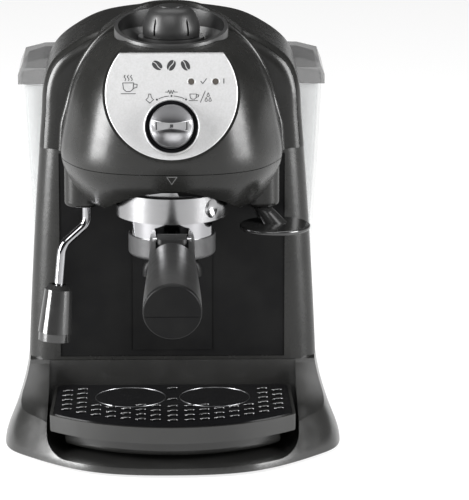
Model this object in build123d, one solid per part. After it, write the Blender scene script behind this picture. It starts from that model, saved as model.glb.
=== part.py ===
from build123d import *
import math
import os

# Pump espresso machine. Millimetres. x to the right, y to the back, z up, floor at z = 0.
# Everything is drawn about the middle of the base and moved by FRAME_SHIFT when it is written.

# ---- Driving dimensions -------------------------------------------------------------
WALL = 2.5                      # wall of the moulded casings
FIT = 0.2                       # gap between casing pieces
RUN = 0.4                       # gap between pieces that move on each other

FRONT_Y = -122.5                # front lip of the base
BACK_Y = 122.5                  # back of the base, tank and lid
BASE_HALF_WIDTH = 104.0
BASE_BOTTOM = 2.0               # the feet reach 2 mm lower
BASE_TOP = 46.0
LIP_TOP = 6.0                   # floor of the tray bay
TRAY_BAY_HALF_WIDTH = 77.0
SPLASH_Y = -18.0                # front face of the upright body

BODY_BACK_Y = 62.0
COLUMN_TOP = 180.6
ARCH_BOTTOM = 181.0
ARCH_TOP = 259.8

BREW = (0.0, -58.0)             # axis of the filter holder and the boiler
KNOB = (0.0, -45.0)             # axis of the steam knob
DISH_RADIUS = 33.0
DISH_RIM_Z = 262.3              # rim height over the knob axis
DISH_TILT = 10.5                # the rim falls to the front
DISH_FLOOR_Z = 249.5

PANEL_RADIUS = 39.4
PANEL_CENTRE = (0.0, -96.5, 230.4)
PANEL_TILT = 15.0               # the panel leans back
SELECTOR_DROP = 19.8            # from the panel centre down to the selector, along the panel

COLLAR_RADIUS = 34.0
COLLAR_LOW = 149.5
COLLAR_HIGH = 165.0
BOWL_RADIUS = 26.0
HANDLE_ROOT = (0.0, -88.0, 146.0)
HANDLE_TILT = 10.5
HANDLE_TIP_Y = -205.0
HANDLE_END_RADIUS = 17.0

WAND = (-52.4, -36.0)           # axis of the wand swivel
TUBE_RADIUS = 2.8

TAMPER = (63.0, -50.0, 137.5)
TAMPER_RADIUS = 21.7

TANK_FRONT_Y = 64.5
TANK_BOTTOM = 48.5
TANK_TOP = 205.0
LID_HINGE = (120.0, 209.5)      # y and z of the lid's hinge axis
TANK_PORT = (0.0, 93.0)

TRAY_BAND_LOW = 20.0
TRAY_BAND_HIGH = 30.0
TRAY_HALF_WIDTH = 75.0
TRAY_FRONT_Y = -117.0
TRAY_CORNER_Y = -87.0
GRID_THICKNESS = 2.2
CUP_CENTRES = ((-26.0, -50.0), (26.0, -50.0))
CUP_RING_RADIUS = 21.7

# holes in each column, from the middle outwards, and the pitch of columns and rows
HOLE_ROWS = (4, 4, 4, 3, 3, 3, 6, 5)
HOLE_PITCH = (9.12, 10.3)
HOLE_SIZE = (6.0, 3.2)
CORD = (-60.0, 24.0)            # x and z of the cord gland
FOOT_PLACES = ((-84, -48), (84, -48), (-76, 104), (76, 104))
HEAD_BACK_Y = -12.0
HEAD_SEAM = 183.0
GROUP_OPENING = 41.5            # radius of the opening round the brew group
GROUP_CEILING = 177.0
COWL_FRONT_Y = -24.0
COWL_DEPTH = 18.0
LENS_PLACES = ((11.8, 7.3), (26.2, 7.3))
KNOB_BOTTOM = DISH_FLOOR_Z + 7 + RUN
KNOB_TOP = 274.6
KNOB_LOBES = 5
BOILER_TOP = 197.5
SLOT_HALF_WIDTH = 9.8
SLOT_FRONT_Y = -126.0
SLOT_FLOOR_Z = 130.0
LEVER_PIVOT = (-102.0, 143.0)
WAND_END = (-70.0, -43.0, 99.0)
PUMP = (0.0, 22.0)

HANDLE_REACH_Y = HANDLE_TIP_Y - HANDLE_END_RADIUS * math.sin(math.radians(HANDLE_TILT))
FRAME_SHIFT = -(HANDLE_REACH_Y + BACK_Y) / 2


# ---- Small helpers ------------------------------------------------------------------
def span(x, y, z):
    """Box from three (low, high) pairs."""
    size = (x[1] - x[0], y[1] - y[0], z[1] - z[0])
    centre = ((x[0] + x[1]) / 2, (y[0] + y[1]) / 2, (z[0] + z[1]) / 2)
    return Pos(*centre) * Box(*size)


def post(at, low, high, radius):
    """Upright cylinder."""
    return Pos(at[0], at[1], (low + high) / 2) * Cylinder(radius, high - low)


def ring(at, low, high, outer, inner):
    return post(at, low, high, outer) - post(at, low - 1, high + 1, inner)


def cone(at, low, high, low_radius, high_radius):
    return Pos(at[0], at[1], (low + high) / 2) * Cone(low_radius, high_radius, high - low)


def bar_x(y, z, x, radius):
    """Cylinder along x from x[0] to x[1]."""
    return Pos((x[0] + x[1]) / 2, y, z) * Rot(0, 90, 0) * Cylinder(radius, x[1] - x[0])


def bar_y(x, z, y, radius):
    return Pos(x, (y[0] + y[1]) / 2, z) * Rot(90, 0, 0) * Cylinder(radius, y[1] - y[0])


def pipe(points, radii, outer, inner=0.0):
    """Tube along straight runs joined by arcs."""
    path = FilletPolyline(*points, radius=radii)
    section = Plane(origin=path @ 0, z_dir=path % 0)
    tube = sweep(section * Circle(outer), path=path)
    if inner:
        tube -= sweep(section * Circle(inner), path=path)
    return tube


def loft_sections(sections):
    """Solid through a list of closed wires, from low to high."""
    return Solid.make_loft(sections)


def closed(*curves):
    """One closed wire from curves that meet end to end."""
    return Wire([edge for curve in curves for edge in curve.edges()])


def soften(shape, edges, radius):
    """Fillet, or leave the edges sharp where the radius does not fit."""
    for size in (radius, radius * 0.6, radius * 0.3):
        try:
            rounded = fillet(edges, size)
        except (ValueError, RuntimeError):
            continue
        if rounded.is_valid:
            return rounded
    return shape


def save(name, shape):
    export_step(Pos(0, FRAME_SHIFT, 0) * shape, f"parts/{name}.step")


# ---- Base ---------------------------------------------------------------------------
def base_outline(draw, wall, z):
    """Plan of the base: a bow at the front, sides that draw in towards the back."""
    wide = BASE_HALF_WIDTH - draw - wall
    front = FRONT_Y + draw * 0.9 + wall
    back = BACK_Y - wall
    shoulder = -79 + draw * 0.6 + wall * 0.6
    bow = Spline(
        (0, front, z), (wide * 0.52, front + 11, z), (wide * 0.87, shoulder, z), (wide, -40, z),
        tangents=((1, 0, 0), (0, 1, 0)),
    )
    rear = 93.0 - draw * 0.2 - wall
    side = Polyline((wide, -40, z), (rear + 2.6 - draw * 0.1, 40, z), (rear, back, z))
    across = Line((rear, back, z), (-rear, back, z))
    return closed(bow, side, across, mirror(side, Plane.YZ), mirror(bow, Plane.YZ))


def base_body(wall):
    """The base flares outwards and down to the floor."""
    flare = ((BASE_BOTTOM, 0.0), (12.0, 2.2), (24.0, 7.2), (36.0, 12.4), (BASE_TOP, 15.6))
    return loft_sections([base_outline(draw, wall, z) for z, draw in flare])


def wing_crest(drop):
    """Side profile of the wings, from the lip up to the columns, as a wide block."""
    top = Spline(
        (FRONT_Y - 2, LIP_TOP - drop),
        (-108, LIP_TOP + 3.5 - drop),
        (-96, 17.5 - drop),
        (-84, 23.5 - drop),
        (-62, 26.5 - drop),
        (-40, 33.5 - drop),
        (-20, 44.0 - drop),
        tangents=((1, 0), (1, 0.6)),
    )
    edge = Polyline(
        top @ 1, (-16, BASE_TOP + 1 - drop), (BACK_Y + 5, BASE_TOP + 1 - drop),
        (BACK_Y + 5, -5), (FRONT_Y - 2, -5), top @ 0,
    )
    profile = make_face(closed(top, edge))
    return extrude(Plane.YZ * profile, amount=150, both=True)


def tray_bay():
    """Bay for the drip tray, open to the front and the top."""
    bay = span((-TRAY_BAY_HALF_WIDTH, TRAY_BAY_HALF_WIDTH), (FRONT_Y - 10, SPLASH_Y),
               (LIP_TOP, BASE_TOP + 10))
    low_edges = bay.edges().filter_by(Axis.Y).group_by(Axis.Z)[0]
    return fillet(low_edges, 12)


def base_shell():
    bay_wall = span((-TRAY_BAY_HALF_WIDTH - WALL, TRAY_BAY_HALF_WIDTH + WALL),
                    (FRONT_Y - 10, SPLASH_Y + WALL), (0, BASE_TOP + 10))
    hollow = base_body(WALL) & wing_crest(WALL) & span((-150, 150), (-150, 150), (0, BASE_TOP - 3))
    recess = extrude(make_face(base_outline(0, WALL, BASE_BOTTOM - 1)), amount=3.2)
    shell = (base_body(0) & wing_crest(0)) - tray_bay() - (hollow - bay_wall) - recess
    shell -= post(TANK_PORT, 30, 50, 13.2)
    shell -= span((-60, 60), (0, 50), (40, 50))
    shell -= bar_y(CORD[0], CORD[1], (100, 130), 6.5)
    return shell


# ---- Drip tray ----------------------------------------------------------------------
def tray_outline(inset):
    """Plan of the tray: bowed front, straight sides a little closer at the back."""
    half = TRAY_HALF_WIDTH - inset
    corner = TRAY_CORNER_Y + inset * 0.6
    back = SPLASH_Y - 1.0 - inset
    bow = ThreePointArc((-half, corner), (0, TRAY_FRONT_Y + inset), (half, corner))
    rest = Polyline((half, corner), (half - 1.5, back), (-half + 1.5, back), (-half, corner))
    plan = make_face(closed(bow, rest))
    return fillet(plan.vertices(), max(4 - inset * 0.2, 2))


def tray_slab(inset, low, high):
    return Pos(0, 0, low) * extrude(tray_outline(inset), amount=high - low)


def drip_tray():
    basin = tray_slab(9, 9.5, TRAY_BAND_LOW + 1)
    basin = fillet(basin.edges().group_by(Axis.Z)[0], 3.5)
    tray = basin + tray_slab(0, TRAY_BAND_LOW, TRAY_BAND_HIGH)
    return tray - tray_slab(2, TRAY_BAND_LOW + 2, 40) - tray_slab(11, 11.5, 40)


def grid_hole_places():
    rise = TRAY_CORNER_Y - TRAY_FRONT_Y
    radius = (TRAY_HALF_WIDTH ** 2 + rise ** 2) / 2 / rise
    places = [(0.0, -55.4), (0.0, -30.8)]
    for column, rows in enumerate(HOLE_ROWS):
        x = HOLE_PITCH[0] * column + (1.2 if column else 0)
        first = TRAY_FRONT_Y + radius - math.sqrt(radius ** 2 - x ** 2) + 14.6 + column * 0.5
        for row in range(rows):
            for side in ((-1, 1) if column else (1,)):
                places.append((side * x, first + row * HOLE_PITCH[1]))
    return places


def drip_grid():
    low = TRAY_BAND_HIGH - GRID_THICKNESS + 0.4
    plate = tray_slab(2.3, low, low + GRID_THICKNESS)
    top = low + GRID_THICKNESS
    slot = Rot(0, 0, 24) * extrude(SlotOverall(*HOLE_SIZE), amount=6, both=True)
    holes = [Pos(x, y, low + 1) * slot for x, y in grid_hole_places()]
    plate = plate - holes
    for at in CUP_CENTRES:
        plate -= ring(at, top - 0.5, top + 1, CUP_RING_RADIUS + 0.4, CUP_RING_RADIUS - 0.4)
    for x in (-60, 60):
        for y in (-84, -34):
            plate += post((x + math.copysign(3, x), y + 3), TRAY_BAND_LOW + 2, low, 2.5)
    return plate


def base_plate():
    plate = extrude(make_face(base_outline(0, WALL + FIT, BASE_BOTTOM)), amount=2.0)
    for place in FOOT_PLACES:
        plate -= post(place, 0, 10, 5)
    return plate


def rubber_feet():
    feet = [post(at, 0, BASE_BOTTOM, 8) + post(at, BASE_BOTTOM, 4, 5) for at in FOOT_PLACES]
    return Compound(feet)


def cord_gland():
    return bar_y(CORD[0], CORD[1], (110, BACK_Y - 0.2), 6.5) - bar_y(CORD[0], CORD[1], (100, 130), 3.2)


# ---- Upright body -------------------------------------------------------------------
COLUMN_WIDTHS = ((BASE_TOP, 90.2), (98.0, 87.7), (COLUMN_TOP, 82.2))


def upright_section(half_width, front, back, corner, z):
    outline = Rectangle(2 * half_width, back - front)
    front_corners = outline.vertices().group_by(Axis.Y)[0]
    rounded = fillet(front_corners, corner)
    return (Pos(0, (front + back) / 2, z) * rounded).wire()


def column_block(inset, back):
    """The upright body as a solid; it draws in as it rises."""
    return loft_sections([
        upright_section(width - inset, SPLASH_Y + inset, back, 16 - inset, z)
        for z, width in COLUMN_WIDTHS
    ])


def splash_window(inset):
    return span((-70 + inset, 70 - inset), (SPLASH_Y - 5, SPLASH_Y + WALL + 1),
                (48 + inset, 178 - inset))


def column_housing():
    inner = column_block(WALL, BODY_BACK_Y + 5)
    return column_block(0, BODY_BACK_Y) - inner - splash_window(0)


def back_splash():
    panel = splash_window(FIT) & span((-80, 80), (SPLASH_Y + 0.6, SPLASH_Y + WALL), (0, 200))
    return panel - splash_groove(0)


def splash_groove(inset):
    """Shallow field for the centre strip of the splash panel."""
    return span((-25 + inset, 25 - inset), (SPLASH_Y, SPLASH_Y + 1.4), (52 + inset, 174 - inset))


def splash_insert():
    return splash_groove(FIT)


def arch_outline(inset):
    """Front view of the arch over the columns."""
    top = ARCH_TOP - inset
    right = Spline(
        (0, top), (26, 257.7 - inset),
        (45.2 - inset * 0.3, 253.7 - inset), (59.6 - inset * 0.7, 246.4 - inset * 0.8),
        (74.8 - inset, 232.4 - inset * 0.3), (79.6 - inset, 217), (80.6 - inset, 200),
        tangents=((1, 0), (0.07, -1)),
    )
    foot = Polyline(right @ 1, (82.1 - inset, ARCH_BOTTOM), (0, ARCH_BOTTOM))
    return make_face(closed(right, foot, mirror(foot, Plane.YZ), mirror(right, Plane.YZ)))


def arch_block(inset, front, back):
    face = Plane.XZ * arch_outline(inset)
    return Pos(0, front, 0) * extrude(face, amount=-(back - front))


def dish_plane_block(lift):
    """Everything under the plane of the dish rim, as a large block."""
    below = Pos(0, 0, -200) * Box(500, 500, 400)
    return Pos(KNOB[0], KNOB[1], DISH_RIM_Z + lift) * Rot(DISH_TILT, 0, 0) * below


def arch_form():
    """Solid arch with a broad round along its front rim."""
    block = arch_block(0, SPLASH_Y, BODY_BACK_Y)
    front_edges = block.edges().group_by(Axis.Y)[0]
    rim = [edge for edge in front_edges if edge.center().Z > ARCH_BOTTOM + 2]
    block = soften(block, rim, 9)
    back_edges = block.edges().group_by(Axis.Y)[-1]
    rim = [edge for edge in back_edges if edge.center().Z > ARCH_BOTTOM + 2]
    return soften(block, rim, 1.8)


def cowl_outline(inset):
    """Front view of the raised cowl that frames the hood and carries the dish's back."""
    right = Spline(
        (0, 272 - inset), (21.5, 268.6 - inset), (34 - inset * 0.5, 261.5 - inset * 0.9),
        (45.5 - inset * 0.7, 252 - inset * 0.8), (54.6 - inset * 0.8, 240 - inset * 0.6),
        (62.3 - inset, 222 - inset * 0.4), (67.6 - inset, 203), (70 - inset, ARCH_BOTTOM),
        tangents=((1, 0), (0.05, -1)),
    )
    foot = Line(right @ 1, (0, ARCH_BOTTOM))
    return make_face(closed(right, foot, mirror(foot, Plane.YZ), mirror(right, Plane.YZ)))


def cowl_form():
    """The cowl stands proud of the arch and falls away to its top behind."""
    ridge = Pos(0, COWL_FRONT_Y, 0) * extrude(Plane.XZ * cowl_outline(0), amount=-COWL_DEPTH)
    front_edges = ridge.edges().group_by(Axis.Y)[0]
    ridge = soften(ridge, [edge for edge in front_edges if edge.center().Z > ARCH_BOTTOM + 2], 2.4)
    fall = loft_sections([
        (Pos(0, COWL_FRONT_Y + COWL_DEPTH, 0) * (Plane.XZ * cowl_outline(0))).wire(),
        (Pos(0, COWL_FRONT_Y + COWL_DEPTH + 26, 0) * (Plane.XZ * cowl_outline(15))).wire(),
    ])
    return ridge + fall


def arch_cover():
    shell = arch_form() + cowl_form() - arch_block(WALL, SPLASH_Y + WALL, BODY_BACK_Y + 5)
    return shell - head_block(0) - post(KNOB, 240, 300, DISH_RADIUS + 1.8)


def rear_panel():
    slab = span((-100, 100), (BODY_BACK_Y - 2.6, BODY_BACK_Y - 0.4), (BASE_TOP + 0.4, ARCH_TOP))
    plate = slab & (column_block(WALL + FIT, BODY_BACK_Y) + arch_block(WALL + FIT, 0, BODY_BACK_Y))
    plate += slab & span((-79, 79), (0, 100), (COLUMN_TOP - 1, ARCH_BOTTOM + 1))
    for x, z in SCREW_PLACES:
        plate -= bar_y(x, z, (50, 70), 1.5)
    return plate


SCREW_PLACES = tuple((x, z) for x in (-70, 70) for z in (60, 120, 195)) + ((-40, 242), (40, 242))


def casing_screws():
    screws = []
    for x, z in SCREW_PLACES:
        head = bar_y(x, z, (BODY_BACK_Y - 0.4, BODY_BACK_Y + 1.2), 3)
        shank = bar_y(x, z, (BODY_BACK_Y - 10, BODY_BACK_Y - 0.4), 1.5)
        slot = span((x - 2, x + 2), (BODY_BACK_Y + 0.6, BODY_BACK_Y + 2), (z - 0.4, z + 0.4))
        screws.append(head + shank - slot)
    return Compound(screws)


# ---- Brew head ----------------------------------------------------------------------
# height, half width and front of the head; it hangs like a bowl and closes like a bell
HEAD_LEVELS = (
    (151.5, 45.0, -74.0), (156.0, 53.6, -82.0), (162.0, 58.4, -89.5), (169.0, 62.4, -97.0),
    (177.0, 66.2, -103.0), (184.0, 67.7, -105.4), (198.0, 66.4, -106.0), (214.0, 63.3, -104.6),
    (230.0, 58.4, -101.0), (241.0, 52.4, -97.0), (249.0, 46.0, -92.0),
    (254.0, 40.0, -87.0), (257.2, 32.0, -81.0),
)


def head_outline(half_width, front, z):
    """D-shaped plan: straight cheeks and a full, squared-off bow."""
    start = -26.0
    depth = start - front
    power = 2.0 / 2.7
    bow = []
    for step in range(5):
        angle = math.pi / 2 * (1 - step / 4)
        bow.append((half_width * math.cos(angle) ** power, start - depth * math.sin(angle) ** power, z))
    bow[0] = (0, front, z)
    half = Spline(*bow, tangents=((1, 0, 0), (0, 1, 0)))
    cheek = Line(bow[-1], (half_width, HEAD_BACK_Y, z))
    back = Line((half_width, HEAD_BACK_Y, z), (-half_width, HEAD_BACK_Y, z))
    return closed(half, cheek, back, mirror(cheek, Plane.YZ), mirror(half, Plane.YZ))


def head_block(inset):
    return loft_sections([
        head_outline(width - inset, front + inset, z + inset * ((z < 190) - (z > 245)))
        for z, width, front in HEAD_LEVELS
    ])


def on_panel(shape):
    """Put a shape drawn on the xy plane, z outwards, onto the control panel."""
    return Pos(*PANEL_CENTRE) * Rot(90 - PANEL_TILT, 0, 0) * shape


def panel_boss(radius, near, far):
    return on_panel(Pos(0, 0, (near + far) / 2) * Cylinder(radius, near - far))


def front_hood():
    outer = head_block(0) - panel_boss(90, 40, 0)
    outer += panel_boss(PANEL_RADIUS + 1.6, 0, -26)
    outer &= span((-100, 100), (-130, HEAD_BACK_Y), (HEAD_SEAM, 300))
    outer &= dish_plane_block(-1.5)
    inner = head_block(WALL) - panel_boss(90, 40, -WALL)
    inner += panel_boss(PANEL_RADIUS - WALL, -WALL, -30)
    inner = inner & dish_plane_block(-1.5 - WALL)
    inner += span((-60, 60), (HEAD_BACK_Y - 4, HEAD_BACK_Y + 5), (HEAD_SEAM - 1, 235))
    hood = outer - inner - post(KNOB, 240, 300, DISH_RADIUS + 1.7)
    behind = span((-100, 100), (SPLASH_Y, 0), (HEAD_SEAM, 300))
    hood -= behind - arch_form()
    hood -= panel_boss(PANEL_RADIUS + 0.1, 5, -1.2)
    hood -= on_panel(Pos(0, -SELECTOR_DROP, -6) * Cylinder(5, 20))
    for x, y in LENS_PLACES:
        hood -= on_panel(Pos(x, y, -6) * Cylinder(2, 20))
    return hood.solids().sort_by(SortBy.VOLUME)[-1]


def pod(x):
    """Round-cornered block under the head that carries the wand or the tamper."""
    block = span((x - 11, x + 11), (-47, SPLASH_Y - 0.4), (149.5, 176))
    block = fillet(block.edges().filter_by(Axis.Z).group_by(Axis.Y)[0], 9)
    return fillet(block.edges().group_by(Axis.Z)[0].filter_by(GeomType.CIRCLE), 3)


def head_underside():
    """Bowl under the hood, open round the brew group, with the pods for wand and tamper."""
    low = span((-100, 100), (-130, SPLASH_Y - 0.4), (100, HEAD_SEAM - 0.4))
    outer = (head_block(0) & low) + ((pod(-55) + pod(55)) & low)
    pan = outer - head_block(WALL)
    pan += ring(BREW, 148, GROUP_CEILING, GROUP_OPENING + 2, GROUP_OPENING - 1) & head_block(0) & low
    pan += ring(BREW, GROUP_CEILING - 2.2, GROUP_CEILING, GROUP_OPENING + 2, 40.4) & head_block(0) & low
    pan -= post(BREW, 100, GROUP_CEILING - 2.2, GROUP_OPENING)
    pan -= post(BREW, 100, 200, 40.4)
    pan -= post(WAND, 100, 200, 4.2)
    return pan.solids().sort_by(SortBy.VOLUME)[-1]


def control_panel():
    disc = Pos(0, 0, -0.2) * Cylinder(PANEL_RADIUS, 2.0)
    disc = on_panel(fillet(disc.edges().group_by(Axis.Z)[-1], 0.6))
    disc &= dish_plane_block(-0.2)
    disc -= on_panel(Pos(0, -SELECTOR_DROP, 0) * Cylinder(15.6, 10))
    for x, y in LENS_PLACES:
        disc -= on_panel(Pos(x, y, 0) * Cylinder(1.9, 10))
    return disc


def knob_bezel():
    rim = Pos(0, 0, 1.8) * Cylinder(16.6, 2.0)
    flange = Pos(0, 0, -0.2) * Cylinder(15.4, 2.0)
    well = Pos(0, 0, 2.2) * Cylinder(14.2, 4)
    return on_panel(Pos(0, -SELECTOR_DROP, 0) * (rim + flange - well - Cylinder(4, 20)))


def indicator_lenses():
    lens = [on_panel(Pos(x, y, -1.2) * Cylinder(1.8, 4.4)) for x, y in LENS_PLACES]
    return Compound(lens)


def knob_grip():
    """Round selector with two scooped faces that leave a waisted bar across."""
    body = Pos(0, 0, 5.5) * Cylinder(13.6, 8.6)
    body = fillet(body.edges().sort_by(Axis.Z)[-1:], 1.2)
    for side in (-1, 1):
        body -= Pos(0, side * 11.2, 18.6) * Rot(side * 12, 0, 0) * Sphere(13.6)
    return body


def selector_knob():
    return on_panel(Pos(0, -SELECTOR_DROP, 0) * knob_grip())


def selector_shaft():
    return on_panel(Pos(0, -SELECTOR_DROP, -5.8) * Cylinder(2.6, 14))


def selector_switch():
    case = Pos(0, -SELECTOR_DROP, -19) * Box(22, 15, 12)
    return on_panel(case - Pos(0, -SELECTOR_DROP, -12) * Cylinder(3.0, 6))


# ---- Steam knob and valve -----------------------------------------------------------
def knob_well():
    dish = post(KNOB, DISH_FLOOR_Z - 2.4, 290, DISH_RADIUS + 1.5) & dish_plane_block(0.4)
    dish -= cone(KNOB, DISH_FLOOR_Z, DISH_FLOOR_Z + 8, 28, DISH_RADIUS - 1)
    dish -= cone(KNOB, DISH_FLOOR_Z + 8, 300, DISH_RADIUS - 1, DISH_RADIUS + 0.4)
    dish += post(KNOB, DISH_FLOOR_Z - 2.4, DISH_FLOOR_Z + 7, 20)
    return dish - post(KNOB, 200, 300, 4.5)


def steam_knob():
    """Domed knob parted into lobes by narrow grooves."""
    side = Spline((17.0, KNOB_BOTTOM), (17.3, 262), (15.2, 269), (8.4, KNOB_TOP),
                  tangents=((0.15, 1), (-1, 0.25)))
    foot = Polyline((8.4, KNOB_TOP), (0, KNOB_TOP), (0, KNOB_BOTTOM), (17.0, KNOB_BOTTOM))
    body = Pos(*KNOB) * revolve(Plane.XZ * make_face(closed(side, foot)), Axis.Z)
    for lobe in range(KNOB_LOBES):
        turn = Pos(*KNOB) * Rot(0, 0, 360 * (lobe + 0.5) / KNOB_LOBES)
        body -= turn * Pos(0, -17.6, KNOB_BOTTOM + 9) * Rot(-6, 0, 0) * Box(1.3, 4.4, 14)
    body -= post(KNOB, 200, 266, 3.2)
    return body - post(KNOB, KNOB_TOP - 0.8, 290, 7.7)


def steam_knob_cap():
    return post(KNOB, KNOB_TOP - 0.8, KNOB_TOP + 0.5, 7.5)


def valve_stem():
    return post(KNOB, 222, 266, 3.2)


def steam_valve():
    body = span((-11, 11), (KNOB[1] - 10, KNOB[1] + 10), (209, 234))
    return body - post(KNOB, 221, 250, 3.7)


# ---- Boiler and group ---------------------------------------------------------------
def bayonet_ring():
    collar = ring(BREW, 169, 177, 40, 33.4)
    lip = ring(BREW, 166.2, 169, 40, 30.6)
    for angle in (0, 120, 240):
        lip -= Pos(*BREW, 167) * Rot(0, 0, angle + 45) * Pos(0, 28, 0) * Box(24, 12, 10)
    return (collar + lip) & head_block(WALL + FIT) & span((-50, 50), (-120, SPLASH_Y - 0.6), (160, 180))


def group_gasket():
    return ring(BREW, 173.6, 177, 30, 24)


def shower_screen():
    plate = post(BREW, 173.8, 175.0, 23.5) + ring(BREW, 175.0, 177, 23.5, 21)
    plate -= post(BREW, 170, 180, 2.2)
    for count, radius in ((6, 6), (12, 12), (18, 18)):
        for step in range(count):
            angle = 2 * math.pi * step / count
            at = (BREW[0] + radius * math.cos(angle), BREW[1] + radius * math.sin(angle))
            plate -= post(at, 170, 176, 0.8)
    return plate


def screen_screw():
    return post(BREW, 172.2, 173.8, 4.4) + post(BREW, 173.8, 180, 2.2)


BOILER_BOLTS = tuple((BREW[0] + 34 * math.cos(math.radians(a)), BREW[1] + 34 * math.sin(math.radians(a)))
                     for a in (45, 135, 225, 315))


def boiler_lower():
    base = post(BREW, 177, 186, 38.5) - post(BREW, 181, 190, 28) - post(BREW, 170, 180, 2.2)
    return base


def boiler_upper():
    dome = post(BREW, 186, 191, 38.5) + cone(BREW, 191, BOILER_TOP, 30, 26.5)
    dome -= cone(BREW, 186, BOILER_TOP - 2.5, 27, 23.5)
    for at in BOILER_BOLTS:
        dome -= post(at, 180, 195, 2)
    return dome


def boiler_screws():
    bolts = [post(at, 186, 191, 2) + post(at, 191, 193.6, 3.6) for at in BOILER_BOLTS]
    return Compound(bolts)


def thermostats():
    places = ((-14, -52), (14, -66))
    return Compound([post(at, BOILER_TOP, BOILER_TOP + 4, 6) for at in places])


# ---- Filter holder ------------------------------------------------------------------
def holder_collar():
    collar = ring(BREW, COLLAR_LOW, COLLAR_HIGH, COLLAR_RADIUS, BOWL_RADIUS + 0.2)
    collar = soften(collar, collar.edges().filter_by(GeomType.CIRCLE).group_by(Axis.Z)[0][-1:], 0.8)
    neck = ring(BREW, COLLAR_HIGH, 172.6, 29.6, BOWL_RADIUS + 0.2)
    ears = ring(BREW, 169.6, 172.6, 32.6, 29.0)
    blocks = [Pos(*BREW, 171) * Rot(0, 0, turn) * Pos(0, 31, 0) * Box(20, 12, 10) for turn in (0, 120, 240)]
    collar += neck
    for block in blocks:
        collar += ears & block
    dimple_at = math.radians(-45)
    dimple = Pos(BREW[0] + 40.4 * math.cos(dimple_at), BREW[1] + 40.4 * math.sin(dimple_at), 157.4)
    return collar - dimple * Sphere(8.6)


def holder_bowl():
    bowl = ring(BREW, 137.5, 165, BOWL_RADIUS - 0.1, 23.2)
    return bowl + ring(BREW, 165, 172.6, BOWL_RADIUS - 0.1, 25.4)


def holder_base():
    base = post(BREW, 124.5, 137.5, BOWL_RADIUS + 0.6) - post(BREW, 128, 140, 22.8)
    base = fillet(base.edges().filter_by(GeomType.CIRCLE).group_by(Axis.Z)[0], 2.4)
    for x in (-4, 4):
        base -= post((BREW[0] + x, BREW[1]), 120, 130, 1.6)
    return base - post(BREW, 120, 130, 1.9)


def filter_basket():
    cup = post(BREW, 140, 173.2, 22.6) - post(BREW, 140.8, 180, 21.8)
    return cup + ring(BREW, 172.6, 173.2, 27.4, 21.8)


def holder_screw():
    return post(BREW, 121, 129.5, 1.9) + post(BREW, 128, 129.5, 4)


def twin_spout():
    hub = post(BREW, 117, 124.5, 9) - post(BREW, 121, 126, 1.9)
    spout = hub
    for side in (-1, 1):
        chute = pipe([(0, BREW[1], 119.6), (side * 14, BREW[1], 117.5), (side * 14, BREW[1], 110)],
                     5, 4.2)
        spout += chute
    for side in (-1, 1):
        spout -= pipe([(side * 4, BREW[1], 126), (side * 4, BREW[1], 119),
                       (side * 14, BREW[1], 117.5), (side * 14, BREW[1], 108)], [2.4, 4.5], 2.2)
    spout -= post(BREW, 121, 126, 1.9)
    return spout.solids().sort_by(SortBy.VOLUME)[-1]


HANDLE_LENGTH = (HANDLE_ROOT[1] - HANDLE_TIP_Y) / math.cos(math.radians(HANDLE_TILT))


def on_handle(shape):
    """Put a shape drawn along z onto the handle axis, which runs to the front and down."""
    return Pos(*HANDLE_ROOT) * Rot(90 + HANDLE_TILT, 0, 0) * shape


def handle_section(width, height, z, drop=0.0):
    return (Pos(0, -drop, z) * Ellipse(width, height)).wire()


def holder_handle():
    cap = 3.4
    grip = loft_sections([
        handle_section(13.6, 14.0, -6, 10.4), handle_section(13.6, 13.8, 16, 9.0),
        handle_section(14.3, 13.8, 45, 5.2), handle_section(16.2, 15.8, 88, 1.0),
        handle_section(HANDLE_END_RADIUS, HANDLE_END_RADIUS, HANDLE_LENGTH - cap),
    ])
    grip = on_handle(grip)
    grip -= post(BREW, 145, 175, COLLAR_RADIUS + 0.2)
    grip -= post(BREW, 100, 150, BOWL_RADIUS + 0.8)
    grip &= span((-50, 50), (-300, 0), (100, 164))
    grip -= span((-SLOT_HALF_WIDTH, SLOT_HALF_WIDTH), (SLOT_FRONT_Y, -60), (SLOT_FLOOR_Z, 170))
    grip -= bar_x(*LEVER_PIVOT, (-20, 20), 1.6)
    return grip.solids().sort_by(SortBy.VOLUME)[-1]


def handle_end_cap():
    cap = Pos(0, 0, HANDLE_LENGTH - 1.7) * Cylinder(HANDLE_END_RADIUS, 3.4)
    cap = fillet(cap.edges().sort_by(Axis.Z)[-1:], 1.2)
    cap -= Pos(0, -2.6, HANDLE_LENGTH + 0.1) * Box(60, 0.5, 0.8)
    return on_handle(cap)


def basket_lever():
    y, z = LEVER_PIVOT
    pad = span((-8.6, 8.6), (y - 14, y + 2), (z - 0.2, z + 3.0))
    pad = fillet(pad.edges().filter_by(Axis.Z).group_by(Axis.Y)[0], 3)
    boss = bar_x(*LEVER_PIVOT, (-9.0, 9.0), 3.4)
    return pad + boss - bar_x(*LEVER_PIVOT, (-20, 20), 1.9)


def lever_pin():
    return bar_x(*LEVER_PIVOT, (-11.6, 11.6), 1.6)


# ---- Steam wand ---------------------------------------------------------------------


def wand_route():
    return [
        (WAND[0], WAND[1], 178), (WAND[0], WAND[1], 138.0),
        (WAND[0] - 15.2, WAND[1] - 5.0, 125.0), WAND_END,
    ]


def steam_wand():
    return pipe(wand_route(), [9, 12], TUBE_RADIUS, 1.6)


def wand_swivel():
    return ring(WAND, 172, 177, 7, TUBE_RADIUS)


def on_frother(shape):
    """Put a shape drawn about z, top at 0, onto the foot of the wand, which leans outwards."""
    bend = wand_route()[2]
    rise = Vector(*bend) - Vector(*WAND_END)
    return Plane(origin=WAND_END, x_dir=(rise.Z, 0, -rise.X), z_dir=rise) * shape


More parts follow.
